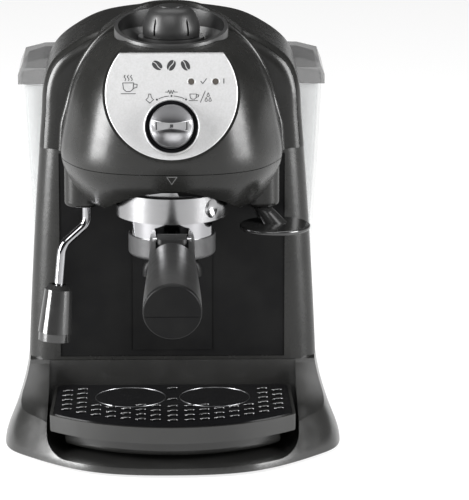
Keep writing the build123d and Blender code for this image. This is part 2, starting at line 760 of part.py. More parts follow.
def frother_sleeve():
    sleeve = Pos(0, 0, -14.5) * Cone(10.4, 8.5, 27)
    sleeve += Pos(0, 0, 0.5) * Cone(8.5, 6.0, 3)
    sleeve -= Pos(0, 0, -3) * Cylinder(TUBE_RADIUS + 1.6, 14)
    return on_frother(sleeve - Pos(0, 0, -20) * Cylinder(6.4, 24))


def frother_ring():
    return on_frother(ring((0, 0), -33.2, -28.2, 9.8, 6.4))


def frother_nozzle():
    nozzle = Pos(0, 0, -10) * Cylinder(TUBE_RADIUS + 1.2, 20)
    nozzle -= Pos(0, 0, -5) * Cylinder(TUBE_RADIUS + 0.1, 12)
    return on_frother(nozzle - Pos(0, 0, -15) * Cylinder(1, 14))


# ---- Tank ---------------------------------------------------------------------------
TANK_WIDTHS = ((TANK_BOTTOM, 87.0), (90.0, 90.0), (150.0, 93.8), (TANK_TOP, 96.6))


def tank_section(half_width, inset, z):
    outline = Rectangle(2 * (half_width - inset), BACK_Y - TANK_FRONT_Y - 0.5 - 2 * inset)
    rounded = fillet(outline.vertices(), 12 - inset)
    return (Pos(0, (TANK_FRONT_Y + BACK_Y - 0.5) / 2, z) * rounded).wire()


def water_tank():
    outer = loft_sections([tank_section(width, 0, z) for z, width in TANK_WIDTHS])
    inner_levels = [(TANK_BOTTOM + 2.5, TANK_WIDTHS[0][1] + 0.3)] + list(TANK_WIDTHS[1:-1])
    inner_levels.append((TANK_TOP + 2, TANK_WIDTHS[-1][1] + 0.1))
    inner = loft_sections([tank_section(width, 2.2, z) for z, width in inner_levels])
    tank = outer - inner - post(TANK_PORT, 40, 60, 5)
    for side in (-1, 1):
        lug = span((side * 34 - 3, side * 34 + 3), (116.6, BACK_Y - 0.6), (TANK_TOP - 8, LID_HINGE[1]))
        lug += bar_x(*LID_HINGE, (side * 34 - 3, side * 34 + 3), 2.3)
        tank += lug - bar_x(*LID_HINGE, (-60, 60), 1.2)
    return tank


def lid_outline(inset):
    side = 98.0 - inset
    low = TANK_TOP + 1.0
    corner = Polyline(
        (-side, low), (-side, low + 6), (-95 + inset, 219.6 - inset),
        (-82, 222.8 - inset), (0, 224.6 - inset),
    )
    return make_face(closed(corner, mirror(corner, Plane.YZ), Line((side, low), (-side, low))))


def tank_lid():
    depth = BACK_Y - TANK_FRONT_Y + 1.0
    lid = Pos(0, BACK_Y - 0.5, 0) * extrude(Plane.XZ * lid_outline(0), amount=depth - 0.5)
    inner = Pos(0, BACK_Y - 2.7, 0) * extrude(Plane.XZ * lid_outline(2.2), amount=depth - 4.9)
    inner += Pos(0, 0, -3) * inner
    lid -= inner
    for side in (-1, 1):
        lid -= span((side * 34 - 3.8, side * 34 + 3.8), (112, 125), (200, 213.5))
    barrel = bar_x(*LID_HINGE, (-29.6, 29.6), 2.3)
    barrel += span((-29.6, 29.6), (118.6, 121.4), (LID_HINGE[1], 214))
    return lid + barrel - bar_x(*LID_HINGE, (-60, 60), 1.5)


def lid_pin():
    return bar_x(*LID_HINGE, (-37.4, 37.4), 1.2)


def tank_valve():
    body = ring(TANK_PORT, 38.5, TANK_BOTTOM, 9, 3.5) + ring(TANK_PORT, TANK_BOTTOM, 53, 5, 3.5)
    return body + ring(TANK_PORT, 51.0, 53, 8, 3.5)


def tank_seat():
    return ring(TANK_PORT, 35, 45.6, 13.0, 9.6) + ring(TANK_PORT, 33, 35, 13.0, 4.2)


# ---- Pump and pipes -----------------------------------------------------------------


def pump_body():
    return post(PUMP, 66, 132, 19) + post(PUMP, 132, 150, 9) + post(PUMP, 58, 66, 7)


def pump_mounts():
    blocks = []
    for z in (74, 120):
        block = span((-23, 23), (PUMP[1] - 23, PUMP[1] + 23), (z, z + 7))
        blocks.append(block - post(PUMP, 60, 140, 19))
    return Compound(blocks)


def pump_bracket():
    plate = span((-30, 30), (PUMP[1] + 23, PUMP[1] + 25.5), (60, 140))
    for z in (66, 134):
        plate += span((-30, 30), (PUMP[1] + 25.5, BODY_BACK_Y - 2.6), (z - 3, z + 3))
    return plate


def suction_hose():
    low = 22.0
    return pipe([(*TANK_PORT, 33), (*TANK_PORT, low), (*PUMP, low), (*PUMP, 58)], [9, 9], 4, 2.6)


def pressure_pipe():
    run = 212.0
    return pipe([(*PUMP, 150), (*PUMP, run), (18, -20, run), (18, -50, run), (18, -50, BOILER_TOP)],
                [9, 9, 7], 2.2, 1.2)


def steam_pipe():
    return pipe([(-11, KNOB[1], 222), (-30, KNOB[1], 222), (WAND[0], WAND[1], 214), (*WAND, 178)],
                [8, 9], 2.2, 1.2)


# ---- Tamper -------------------------------------------------------------------------
def tamper():
    disc = Pos(TAMPER[0], TAMPER[1], TAMPER[2] + 1.4) * Cylinder(TAMPER_RADIUS, 2.8)
    disc = fillet(disc.edges().filter_by(GeomType.CIRCLE), 1.1)
    top = (54.5, -38.0, 149.5)
    foot = (TAMPER[0], TAMPER[1] + 4, TAMPER[2] + 2.0)
    stem = loft_sections([
        (Pos(*foot) * Ellipse(8.4, 6.4)).wire(),
        (Pos(*top) * Ellipse(6.0, 5.4)).wire(),
    ])
    return disc + stem


def main():
    os.makedirs("parts", exist_ok=True)
    pieces = (
        base_shell, base_plate, rubber_feet, cord_gland, drip_tray, drip_grid,
        column_housing, back_splash, splash_insert, arch_cover, rear_panel, casing_screws,
        front_hood, head_underside, control_panel, knob_bezel, indicator_lenses,
        selector_knob, selector_shaft, selector_switch,
        knob_well, steam_knob, steam_knob_cap, valve_stem, steam_valve,
        bayonet_ring, group_gasket, shower_screen, screen_screw,
        boiler_lower, boiler_upper, boiler_screws, thermostats,
        holder_collar, holder_bowl, holder_base, filter_basket, holder_screw, twin_spout,
        holder_handle, handle_end_cap, basket_lever, lever_pin,
        steam_wand, wand_swivel, frother_sleeve, frother_ring, frother_nozzle,
        water_tank, tank_lid, lid_pin, tank_valve, tank_seat,
        pump_body, pump_mounts, pump_bracket, suction_hose, pressure_pipe, steam_pipe,
        tamper,
    )
    for piece in pieces:
        save(piece.__name__, piece())


main()
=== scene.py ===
import math

import bmesh
import bpy
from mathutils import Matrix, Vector
from mathutils.bvhtree import BVHTree


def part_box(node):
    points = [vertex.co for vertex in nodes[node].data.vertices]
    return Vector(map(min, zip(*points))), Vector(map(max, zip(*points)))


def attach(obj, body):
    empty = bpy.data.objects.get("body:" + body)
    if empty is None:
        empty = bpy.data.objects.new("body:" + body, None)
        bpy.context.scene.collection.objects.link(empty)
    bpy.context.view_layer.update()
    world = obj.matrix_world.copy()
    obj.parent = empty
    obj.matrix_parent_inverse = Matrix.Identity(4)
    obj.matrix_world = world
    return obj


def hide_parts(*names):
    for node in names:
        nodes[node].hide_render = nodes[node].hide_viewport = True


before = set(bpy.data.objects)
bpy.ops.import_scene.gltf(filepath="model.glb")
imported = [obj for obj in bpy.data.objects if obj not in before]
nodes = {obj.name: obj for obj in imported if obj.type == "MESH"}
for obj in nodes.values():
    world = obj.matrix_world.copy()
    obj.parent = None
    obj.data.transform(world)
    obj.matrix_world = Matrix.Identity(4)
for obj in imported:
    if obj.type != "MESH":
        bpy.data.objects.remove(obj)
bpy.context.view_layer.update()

MM = 0.001
CAMERA_LENS = 253.4             # mm, on a 36 mm sensor
CAMERA_BACK = 2.149             # metres in front of the middle of the base
CAMERA_HEIGHT = 0.628
AIM = (0.039, -0.010, 0.1143)   # right of the machine, in front of the base's middle, height
WORLD_STRENGTH = 0.04
FLOOR_REACH = 12.0


# ---- Camera, lights and floor -------------------------------------------------------
def aim(thing, target):
    """Turns a camera or light so that it looks at a point."""
    direction = Vector(target) - thing.location
    thing.rotation_euler = direction.to_track_quat("-Z", "Y").to_euler()


def add_camera():
    """Long lens from a little above, aimed to the machine's right so that it sits left of the middle."""
    base_low, base_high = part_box("base_shell")
    middle_y = (base_low[1] + base_high[1]) / 2
    camera = bpy.data.cameras.new("camera")
    camera.lens = CAMERA_LENS
    camera.sensor_width = 36
    camera.clip_end = 50
    thing = bpy.data.objects.new("camera", camera)
    bpy.context.scene.collection.objects.link(thing)
    thing.location = (0, middle_y - CAMERA_BACK, CAMERA_HEIGHT)
    aim(thing, (AIM[0], middle_y + AIM[1], AIM[2]))
    bpy.context.scene.camera = thing


def add_panel(name, place, target, size, power):
    """Soft light panel; a large area light."""
    light = bpy.data.lights.new(name, "AREA")
    light.shape = "RECTANGLE"
    light.size, light.size_y = size
    light.energy = power
    thing = bpy.data.objects.new(name, light)
    bpy.context.scene.collection.objects.link(thing)
    thing.location = place
    aim(thing, target)


def add_lights():
    """Tall soft panels left and right, one above and one high in front; the studio behind them is dark."""
    focus = (0, -0.02, 0.15)
    add_panel("left_panel", (-1.35, -0.45, 0.50), focus, (0.7, 1.15), 78)
    add_panel("right_panel", (1.40, -0.60, 0.55), focus, (0.7, 1.15), 52)
    add_panel("top_panel", (0, 0.5, 1.8), focus, (1.8, 1.2), 20)
    add_panel("front_panel", (-0.2, -1.5, 1.75), focus, (1.6, 0.8), 24)
    world = bpy.data.worlds.new("studio")
    world.use_nodes = True
    world.node_tree.nodes["Background"].inputs["Color"].default_value = (1, 1, 1, 1)
    world.node_tree.nodes["Background"].inputs["Strength"].default_value = WORLD_STRENGTH
    bpy.context.scene.world = world


def add_floor():
    mesh = bpy.data.meshes.new("studio_floor")
    reach = FLOOR_REACH
    corners = [(-reach, -reach, 0), (reach, -reach, 0), (reach, reach, 0), (-reach, reach, 0)]
    mesh.from_pydata(corners, [], [(0, 1, 2, 3)])
    thing = bpy.data.objects.new("studio_floor", mesh)
    bpy.context.scene.collection.objects.link(thing)
    material = bpy.data.materials.new("pale_floor")
    material.use_nodes = True
    shader = material.node_tree.nodes["Principled BSDF"]
    shader.inputs["Base Color"].default_value = (0.20, 0.20, 0.20, 1)
    shader.inputs["Roughness"].default_value = 0.75
    shader.inputs["Emission Color"].default_value = (1, 1, 1, 1)
    shader.inputs["Emission Strength"].default_value = 0.80
    mesh.materials.append(material)


# ---- Materials ----------------------------------------------------------------------
class Surface:
    """Principled material with its nodes at hand."""

    def __init__(self, name, color, roughness, metallic=0.0):
        self.material = bpy.data.materials.new(name)
        self.material.use_nodes = True
        self.tree = self.material.node_tree
        self.shader = self.tree.nodes["Principled BSDF"]
        self.set("Base Color", (*color, 1))
        self.set("Roughness", roughness)
        self.set("Metallic", metallic)
        self.coords = self.tree.nodes.new("ShaderNodeTexCoord")

    def set(self, socket, value):
        self.shader.inputs[socket].default_value = value
        return self

    def node(self, kind, **values):
        made = self.tree.nodes.new(kind)
        for key, value in values.items():
            setattr(made, key, value)
        return made

    def link(self, source, target):
        self.tree.links.new(source, target)

    def mapped(self, stretch):
        """Object coordinates, in metres, stretched along each axis."""
        mapping = self.node("ShaderNodeMapping")
        mapping.inputs["Scale"].default_value = stretch
        self.link(self.coords.outputs["Object"], mapping.inputs["Vector"])
        return mapping.outputs["Vector"]

    def noise(self, scale, detail=3.0, stretch=(1, 1, 1)):
        made = self.node("ShaderNodeTexNoise")
        made.inputs["Scale"].default_value = scale
        made.inputs["Detail"].default_value = detail
        self.link(self.mapped(stretch), made.inputs["Vector"])
        return made.outputs["Fac"]

    def between(self, source, low, high):
        """Maps 0.3 to 0.7, where a noise mostly lies, onto low to high."""
        made = self.node("ShaderNodeMapRange")
        made.inputs["From Min"].default_value = 0.3
        made.inputs["From Max"].default_value = 0.7
        made.inputs["To Min"].default_value = low
        made.inputs["To Max"].default_value = high
        self.link(source, made.inputs["Value"])
        return made.outputs["Result"]

    def vary_roughness(self, scale, low, high, stretch=(1, 1, 1)):
        self.link(self.between(self.noise(scale, 4, stretch), low, high), self.shader.inputs["Roughness"])
        return self

    def vary_color(self, scale, first, second, stretch=(1, 1, 1)):
        ramp = self.node("ShaderNodeValToRGB")
        ramp.color_ramp.elements[0].position = 0.35
        ramp.color_ramp.elements[1].position = 0.65
        ramp.color_ramp.elements[0].color = (*first, 1)
        ramp.color_ramp.elements[1].color = (*second, 1)
        self.link(self.noise(scale, 3, stretch), ramp.inputs["Fac"])
        self.link(ramp.outputs["Color"], self.shader.inputs["Base Color"])
        return self

    def grain(self, scale, depth, stretch=(1, 1, 1), strength=1.0):
        """Fine relief, depth in metres."""
        bump = self.node("ShaderNodeBump")
        bump.inputs["Distance"].default_value = depth
        bump.inputs["Strength"].default_value = strength
        self.link(self.noise(scale, 5, stretch), bump.inputs["Height"])
        self.link(bump.outputs["Normal"], self.shader.inputs["Normal"])
        return self


def casing_black():
    surface = Surface("casing_black", (0.010, 0.010, 0.0095), 0.26)
    surface.vary_color(45, (0.0088, 0.0088, 0.0083), (0.0112, 0.0112, 0.0106))
    surface.vary_roughness(130, 0.24, 0.29)
    surface.grain(2600, 0.000010)
    return surface.set("Specular IOR Level", 0.32).material


def splash_black():
    surface = Surface("splash_black", (0.004, 0.004, 0.0042), 0.42)
    surface.vary_color(60, (0.0032, 0.0032, 0.0034), (0.005, 0.005, 0.005))
    surface.vary_roughness(160, 0.38, 0.46)
    surface.grain(3000, 0.000008)
    return surface.set("Specular IOR Level", 0.12).material


def gloss_black():
    surface = Surface("gloss_black", (0.004, 0.004, 0.0045), 0.12)
    surface.vary_roughness(90, 0.09, 0.15)
    surface.grain(900, 0.000003)
    return surface.set("Specular IOR Level", 0.42).material


def handle_black():
    surface = Surface("handle_black", (0.013, 0.013, 0.013), 0.38)
    surface.vary_color(80, (0.011, 0.011, 0.011), (0.015, 0.015, 0.015))
    surface.vary_roughness(140, 0.35, 0.42)
    surface.grain(2400, 0.000012)
    return surface.set("Specular IOR Level", 0.36).material


def panel_silver():
    surface = Surface("panel_silver", (0.52, 0.52, 0.52), 0.38, 0.7)
    surface.vary_color(900, (0.50, 0.50, 0.50), (0.545, 0.545, 0.55))
    surface.vary_roughness(500, 0.36, 0.42)
    return surface.grain(4000, 0.000006).material


def chrome():
    surface = Surface("chrome", (0.34, 0.34, 0.35), 0.08, 1.0)
    surface.vary_roughness(120, 0.06, 0.10)
    return surface.grain(300, 0.000004).material


def satin_chrome():
    surface = Surface("satin_chrome", (0.17, 0.17, 0.175), 0.32, 1.0)
    surface.vary_roughness(300, 0.29, 0.36)
    return surface.grain(900, 0.000003).material


def bright_bar():
    surface = Surface("bright_bar", (0.62, 0.62, 0.63), 0.30, 0.9)
    surface.vary_roughness(300, 0.26, 0.34)
    return surface.grain(900, 0.000003).material


def grid_lip():
    """Polished lips of the grid's holes, which pick up the light."""
    surface = Surface("grid_lip", (0.02, 0.02, 0.02), 0.16)
    surface.vary_roughness(200, 0.13, 0.2)
    surface.set("Specular IOR Level", 1.0)
    return surface.set("Coat Weight", 1.0).set("Coat Roughness", 0.1).material


def smoked_lid():
    surface = Surface("smoked_lid", (0.12, 0.12, 0.12), 0.12)
    surface.vary_roughness(70, 0.10, 0.15)
    return surface.grain(600, 0.000004).set("Alpha", 0.58).material


def dish_black():
    """Satin black of the hollow round the steam knob."""
    surface = Surface("dish_black", (0.016, 0.016, 0.016), 0.34)
    surface.vary_color(70, (0.014, 0.014, 0.014), (0.018, 0.018, 0.018))
    surface.vary_roughness(150, 0.31, 0.38)
    return surface.grain(2600, 0.000008).set("Specular IOR Level", 0.55).material


def base_black():
    """Casing black of the base, a little glossier than the upper body."""
    surface = Surface("base_black", (0.014, 0.014, 0.0135), 0.24)
    surface.vary_color(45, (0.0125, 0.0125, 0.012), (0.0155, 0.0155, 0.015))
    surface.vary_roughness(130, 0.21, 0.27)
    return surface.grain(2600, 0.000010).set("Specular IOR Level", 0.55).material


def polished_black():
    """Glossy moulded black of the tamper and the frother."""
    surface = Surface("polished_black", (0.014, 0.014, 0.014), 0.16)
    surface.vary_roughness(110, 0.13, 0.19)
    return surface.grain(1200, 0.000004).set("Specular IOR Level", 0.75).material


def brushed_collar():
    """Chromed ring brushed around its axis: streaks run round, so noise is stretched in height."""
    surface = Surface("brushed_collar", (0.30, 0.30, 0.305), 0.24, 1.0)
    surface.vary_roughness(60, 0.14, 0.26, (1, 1, 60))
    return surface.grain(60, 0.000006, (1, 1, 60)).material


def dark_cast():
    surface = Surface("dark_cast", (0.04, 0.04, 0.04), 0.38, 0.4)
    surface.vary_color(220, (0.035, 0.035, 0.036), (0.046, 0.046, 0.047))
    return surface.grain(1500, 0.00003).material


def steel():
    surface = Surface("steel", (0.58, 0.58, 0.59), 0.3, 1.0)
    surface.vary_roughness(200, 0.24, 0.38, (1, 1, 8))
    return surface.grain(700, 0.000008, (1, 1, 8)).material


def cast_alloy():
    surface = Surface("cast_alloy", (0.5, 0.5, 0.51), 0.5, 1.0)
    surface.vary_color(300, (0.44, 0.44, 0.45), (0.55, 0.55, 0.56))
    return surface.grain(900, 0.00006).material


def brass():
    surface = Surface("brass", (0.72, 0.52, 0.24), 0.28, 1.0)
    surface.vary_roughness(250, 0.22, 0.36)
    return surface.grain(800, 0.00001).material


def rubber():
    surface = Surface("rubber", (0.018, 0.018, 0.018), 0.75)
    surface.vary_roughness(400, 0.68, 0.85)
    return surface.grain(2500, 0.00003).material


def pale_plastic():
    surface = Surface("pale_plastic", (0.62, 0.61, 0.58), 0.45)
    surface.vary_color(150, (0.58, 0.57, 0.54), (0.66, 0.65, 0.62))
    return surface.grain(1800, 0.00002).material


def smoked_tank():
    """Thin-walled smoked plastic: what is behind shows through, greyed."""
    surface = Surface("smoked_tank", (0.34, 0.35, 0.35), 0.10)
    surface.vary_roughness(70, 0.08, 0.12)
    surface.grain(400, 0.000002)
    return surface.set("Alpha", 0.28).material


def lamp_lens():
    surface = Surface("lamp_lens", (0.05, 0.045, 0.04), 0.12)
    surface.vary_roughness(600, 0.08, 0.2)
    return surface.set("Coat Weight", 1.0).set("Coat Roughness", 0.03).material


def printed(name, color):
    """Matt printing ink."""
    return Surface(name, color, 0.5).vary_roughness(900, 0.42, 0.6).grain(3000, 0.000004).material


FINISHES = (
    (casing_black, ("column_housing", "arch_cover", "front_hood", "head_underside", "rear_panel")),
    (base_black, ("base_shell", "drip_tray")),
    (polished_black, ("tamper", "frother_sleeve", "frother_ring")),
    (dish_black, ("knob_well",)),
    (splash_black, ("back_splash", "splash_insert", "base_plate", "bayonet_ring", "twin_spout",
                    "handle_end_cap")),
    (gloss_black, ("drip_grid", "wand_swivel")),
    (handle_black, ("holder_handle", "basket_lever", "steam_knob", "steam_knob_cap")),
    (panel_silver, ("control_panel",)),
    (chrome, ("holder_bowl", "steam_wand", "knob_bezel", "selector_knob")),
    (brushed_collar, ("holder_collar",)),
    (dark_cast, ("holder_base",)),
    (steel, ("filter_basket", "shower_screen", "screen_screw", "boiler_screws", "holder_screw", "lever_pin",
             "lid_pin", "casing_screws", "valve_stem", "pump_bracket")),
    (cast_alloy, ("boiler_lower", "boiler_upper")),
    (brass, ("steam_valve", "thermostats")),
    (rubber, ("rubber_feet", "group_gasket", "pump_mounts", "cord_gland", "frother_nozzle")),
    (pale_plastic, ("pump_body", "tank_valve", "tank_seat", "selector_switch", "selector_shaft",
                    "suction_hose", "pressure_pipe", "steam_pipe")),
    (smoked_tank, ("water_tank",)),
    (smoked_lid, ("tank_lid",)),
    (lamp_lens, ("indicator_lenses",)),
)


def finish_nodes():
    """Gives every node its finish and returns the materials by name."""
    made = {}
    for finish, names in FINISHES:
        material = finish()
        made[finish.__name__] = material
        for name in names:
            mesh = nodes[name].data
            mesh.materials.clear()
            mesh.materials.append(material)
    return made


# ---- Mesh helpers -------------------------------------------------------------------
def add_piece(name, build, body, finish, smooth=True):
    """Makes a mesh object with build(bm) and lets it ride on a body."""
    mesh = bpy.data.meshes.new(name)
    bm = bmesh.new()
    build(bm)
    bmesh.ops.remove_doubles(bm, verts=bm.verts, dist=0.002 * MM)
    bmesh.ops.recalc_face_normals(bm, faces=bm.faces)
    bm.to_mesh(mesh)
    bm.free()
    mesh.materials.append(finish)
    if smooth:
        mesh.shade_smooth()
        mesh.set_sharp_from_angle(angle=math.radians(38))
    thing = bpy.data.objects.new(name, mesh)
    bpy.context.scene.collection.objects.link(thing)
    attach(thing, body)
    return thing


def prism(bm, outline, low, high, place):
    """Closed prism over a flat outline; place turns (u, v, w) in millimetres into a point."""
    bottom = [bm.verts.new(place(u, v, low)) for u, v in outline]
    top = [bm.verts.new(place(u, v, high)) for u, v in outline]
    bm.faces.new(bottom[::-1])
    bm.faces.new(top)
    count = len(outline)
    for index in range(count):
        after = (index + 1) % count
        bm.faces.new((bottom[index], bottom[after], top[after], top[index]))


def disc_outline(centre, radius, count=16):
    angles = [2 * math.pi * step / count for step in range(count)]
    return [(centre[0] + radius * math.cos(a), centre[1] + radius * math.sin(a)) for a in angles]


def stroke(bm, points, width, low, high, place):
    """Line of even width with round joints."""
    for (u0, v0), (u1, v1) in zip(points, points[1:]):
        length = math.hypot(u1 - u0, v1 - v0)
        across = (-(v1 - v0) / length * width / 2, (u1 - u0) / length * width / 2)
        outline = [(u0 - across[0], v0 - across[1]), (u1 - across[0], v1 - across[1]),
                   (u1 + across[0], v1 + across[1]), (u0 + across[0], v0 + across[1])]
        prism(bm, outline, low, high, place)
    for point in points:
        prism(bm, disc_outline(point, width / 2, 8), low, high, place)


def arc_points(centre, radius, start, end, count=12):
    """Points along an arc; angles in degrees from straight up, clockwise."""
    angles = [math.radians(start + (end - start) * step / count) for step in range(count + 1)]
    return [(centre[0] + radius * math.sin(a), centre[1] + radius * math.cos(a)) for a in angles]


def lathe(bm, profile, place, count=64):
    """Turns a closed (radius, height) profile about the middle of place."""
    rings = []
    for step in range(count):
        angle = 2 * math.pi * step / count
        rings.append([bm.verts.new(place(r * math.cos(angle), r * math.sin(angle), w)) for r, w in profile])
    for step in range(count):
        first, second = rings[step], rings[(step + 1) % count]
        for index in range(len(profile)):
            after = (index + 1) % len(profile)
            bm.faces.new((first[index], second[index], second[after], first[after]))


def middle(name):
    low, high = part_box(name)
    return Vector([(a + b) / 2 for a, b in zip(low, high)])


def surface_tree(name):
    mesh = nodes[name].data
    return BVHTree.FromPolygons([v.co for v in mesh.vertices], [p.vertices for p in mesh.polygons])


# ---- Control panel ------------------------------------------------------------------
def panel_frame():
    """Middle of the selector on the panel's face, and the panel's right, up and outward directions."""
    mesh = nodes["control_panel"].data
    front = max((p for p in mesh.polygons if p.normal.y < -0.5), key=lambda p: p.area)
    outward = front.normal.normalized()
    right = Vector((1, 0, 0))
    up = outward.cross(right).normalized()
    face = mesh.vertices[front.vertices[0]].co
    seat = middle("knob_bezel")
    seat = seat - outward * (seat - face).dot(outward)
    return seat, right, up, outward


def on_panel():
    seat, right, up, outward = panel_frame()
    return lambda u, v, w: seat + (right * u + up * v + outward * w) * MM


INK = (-0.05, 0.10)             # the print's depth and height on the panel
LINE = 0.42
MARK_RADIUS = 18.4
MARK_SWING = 28.0


def cup_mark(bm, at, size, place, line=LINE):
    """Outline of a cup with its handle and saucer."""
    u, v = at
    bowl = [(u - size, v + size * 0.8), (u - size * 0.85, v - size * 0.35),
            (u - size * 0.35, v - size * 0.75), (u + size * 0.35, v - size * 0.75),
            (u + size * 0.85, v - size * 0.35), (u + size, v + size * 0.8)]
    stroke(bm, bowl + [bowl[0]], line, *INK, place)
    handle = [(u + size * 0.95, v + size * 0.6), (u + size * 1.6, v + size * 0.55), (u + size * 1.55, v),
              (u + size * 0.88, v - size * 0.2)]
    stroke(bm, handle, line, *INK, place)
    stroke(bm, [(u - size * 1.3, v - size * 1.15), (u + size * 1.3, v - size * 1.15)], line, *INK, place)


def steam_lines(bm, at, size, place, line=LINE):
    u, v = at
    for shift in (-0.6, 0, 0.6):
        wave = [(u + shift * size + 0.16 * size * math.sin(step * 1.3), v + step * size * 0.2)
                for step in range(6)]
        stroke(bm, wave, line, *INK, place)


def drop_mark(bm, at, size, place):
    u, v = at
    body = arc_points((u, v), size * 0.62, 60, 300, 10)
    stroke(bm, [(u, v + size * 1.5)] + body + [(u, v + size * 1.5)], LINE * 0.8, *INK, place)


def bean_mark(bm, at, size, turn, place):
    """Solid coffee bean with a pale wavy crease left open along its middle."""
    u, v = at
    cos, sin = math.cos(turn), math.sin(turn)
    for side in (-1, 1):
        edge = []
        for step in range(15):
            angle = math.pi * step / 14
            edge.append((side * (0.10 + 0.62 * math.sin(angle)) * size, math.cos(angle) * size))
        crease = []
        for step in range(9):
            height = -0.94 + 1.88 * step / 8
            crease.append((side * 0.08 * size + 0.12 * size * math.sin(height * 3.0), height * size))
        outline = [(u + a * cos - b * sin, v + a * sin + b * cos) for a, b in edge + crease]
        prism(bm, outline if side > 0 else outline[::-1], *INK, place)


def panel_prints(bm):
    """Everything printed on the panel, measured from the middle of the selector."""
    place = on_panel()
    for side in (-1, 1):
        stroke(bm, arc_points((0, 0), MARK_RADIUS, side * 4.5, side * 24), LINE, *INK, place)
    for angle in (-MARK_SWING, 0, MARK_SWING):
        spot = arc_points((0, 0), MARK_RADIUS, angle, angle, 1)[0]
        prism(bm, disc_outline(spot, 0.62), *INK, place)
    zigzag = [(-3.6, 20.7), (-2.1, 20.7), (-1.6, 21.8), (-0.9, 19.6), (-0.2, 21.8), (0.5, 19.6), (1.2, 21.8),
              (1.7, 20.7), (3.6, 20.7)]
    stroke(bm, zigzag, LINE * 0.9, *INK, place)
    nozzle = [(-15.2, 16.2), (-12.9, 14.2), (-10.6, 16.2), (-11.9, 17.4), (-12.3, 19.6), (-13.5, 19.6),
              (-13.9, 17.4), (-15.2, 16.2)]
    stroke(bm, nozzle, LINE * 0.9, *INK, place)
    cup_mark(bm, (12.9, 17.9), 2.0, place, LINE * 0.9)
    stroke(bm, [(17.2, 14.6), (20.0, 21.2)], LINE * 0.9, *INK, place)
    for at in ((20.6, 15.8), (22.9, 15.8), (21.8, 18.6)):
        drop_mark(bm, at, 1.15, place)
    lamp = on_panel_lamps()
    across, up = lamp[0]
    tick = [(across + 5.6, up + 0.2), (across + 6.8, up - 1.2), (across + 9.0, up + 1.7)]
    stroke(bm, tick, LINE, *INK, place)
    bar = lamp[1][0] + 4.9
    stroke(bm, [(bar, lamp[1][1] - 1.0), (bar, lamp[1][1] + 1.6)], LINE * 1.3, *INK, place)
    for shift, turn in ((-8.4, 0.9), (0, -0.5), (8.4, 0.6)):
        bean_mark(bm, (shift, 36.6), 3.3, turn, place)
    cup_mark(bm, (-25.6, 23.6), 3.3, place)
    steam_lines(bm, (-25.6, 27.6), 3.2, place)


def on_panel_lamps():
    """Places of the two lamps on the panel, from the middle of the selector, left one first."""
    seat, right, up, outward = panel_frame()
    mesh = nodes["indicator_lenses"].data
    spots = []
    low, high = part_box("indicator_lenses")
    split = (low[0] + high[0]) / 2
    for side in (-1, 1):
        points = [v.co for v in mesh.vertices if (v.co.x - split) * side > 0]
        centre = sum(points, Vector()) / len(points) - seat
        spots.append((centre.dot(right) / MM, centre.dot(up) / MM))
    return spots


def lamp_rims(bm):
    """Shallow polished countersink round each lamp."""
    place = on_panel()
    for spot in on_panel_lamps():
        shifted = lambda u, v, w, spot=spot: place(u + spot[0], v + spot[1], w)
        rim = [(1.8, -0.4), (2.0, 0.02), (2.2, 0.16), (2.5, 0.12), (2.6, -0.05), (2.2, -0.5)]
        lathe(bm, rim, shifted, 32)


BEZEL_LOW, BEZEL_HIGH = -0.2, 2.4


def bezel_trim(bm):
    lathe(bm, [(15.6, BEZEL_LOW), (15.6, 1.6), (15.8, 2.2), (16.1, BEZEL_HIGH), (16.4, 2.0), (16.6, 1.2),
               (16.6, BEZEL_LOW)], on_panel(), 96)


# Dark gloss ring between the bezel trim and the selector: painted shade, its black standing in for the
# shadow in the gap round the selector.
def bezel_shade_ring(bm):
    lathe(bm, [(13.4, BEZEL_LOW), (13.4, 0.9), (13.8, 1.3), (15.2, 1.4), (15.6, 1.1),
               (15.6, BEZEL_LOW)], on_panel(), 96)


KNOB_RADIUS = 12.8
BAR_TOP = 9.2


def bowtie(scale=1.0):
    """Outline of the selector's waisted bar."""
    reach = KNOB_RADIUS - 0.5
    steps = [-1 + 2 * step / 20 for step in range(21)]
    upper = []
    for t in steps:
        half = (1.7 + 2.3 * abs(t) ** 1.6) * scale
        along = math.copysign(min(abs(t) * reach, math.sqrt(reach ** 2 - half ** 2)), t)
        upper.append((along, half))
    return upper + [(u, -v) for u, v in reversed(upper)]


def selector_dish(bm):
    """Turned body of the selector with a polished hollow on each side of the bar."""
    profile = [(0.01, 1.0), (0.01, 4.6)]
    profile += [(r, 4.6 + 3.0 * (r / 12.0) ** 2.2) for r in (2, 4, 6, 8, 9.5, 11, 12.0)]
    profile += [(12.4, 7.8), (KNOB_RADIUS, 7.4), (KNOB_RADIUS + 0.3, 5.0), (KNOB_RADIUS + 0.3, 1.0)]
    lathe(bm, profile, on_panel(), 96)


def selector_bar(bm):
    place = on_panel()
    outline = bowtie()
    inner = bowtie(0.86)
    count = len(outline)
    levels = [(outline, 3.0), (outline, BAR_TOP - 0.4), (inner, BAR_TOP)]
    rows = [[bm.verts.new(place(u, v, w)) for u, v in points] for points, w in levels]
    for lower, upper in zip(rows, rows[1:]):
        for index in range(count):
            after = (index + 1) % count
            bm.faces.new((lower[index], lower[after], upper[after], upper[index]))
    half = count // 2
    for row, flip in ((rows[0], True), (rows[-1], False)):
        for index in range(half - 1):
            face = (row[index], row[index + 1], row[count - 2 - index], row[count - 1 - index])
            bm.faces.new(face[::-1] if flip else face)


def selector_marks(bm):
    place = on_panel()
    for side in (-1, 1):
        stroke(bm, [(side * 9.0, -2.1), (side * 9.0, 2.1)], 0.7, BAR_TOP - 0.3, BAR_TOP + 0.08, place)
    square = [(-0.95, -0.95), (0.95, -0.95), (0.95, 0.95), (-0.95, 0.95)]
    prism(bm, square, BAR_TOP - 0.3, BAR_TOP + 0.10, place)


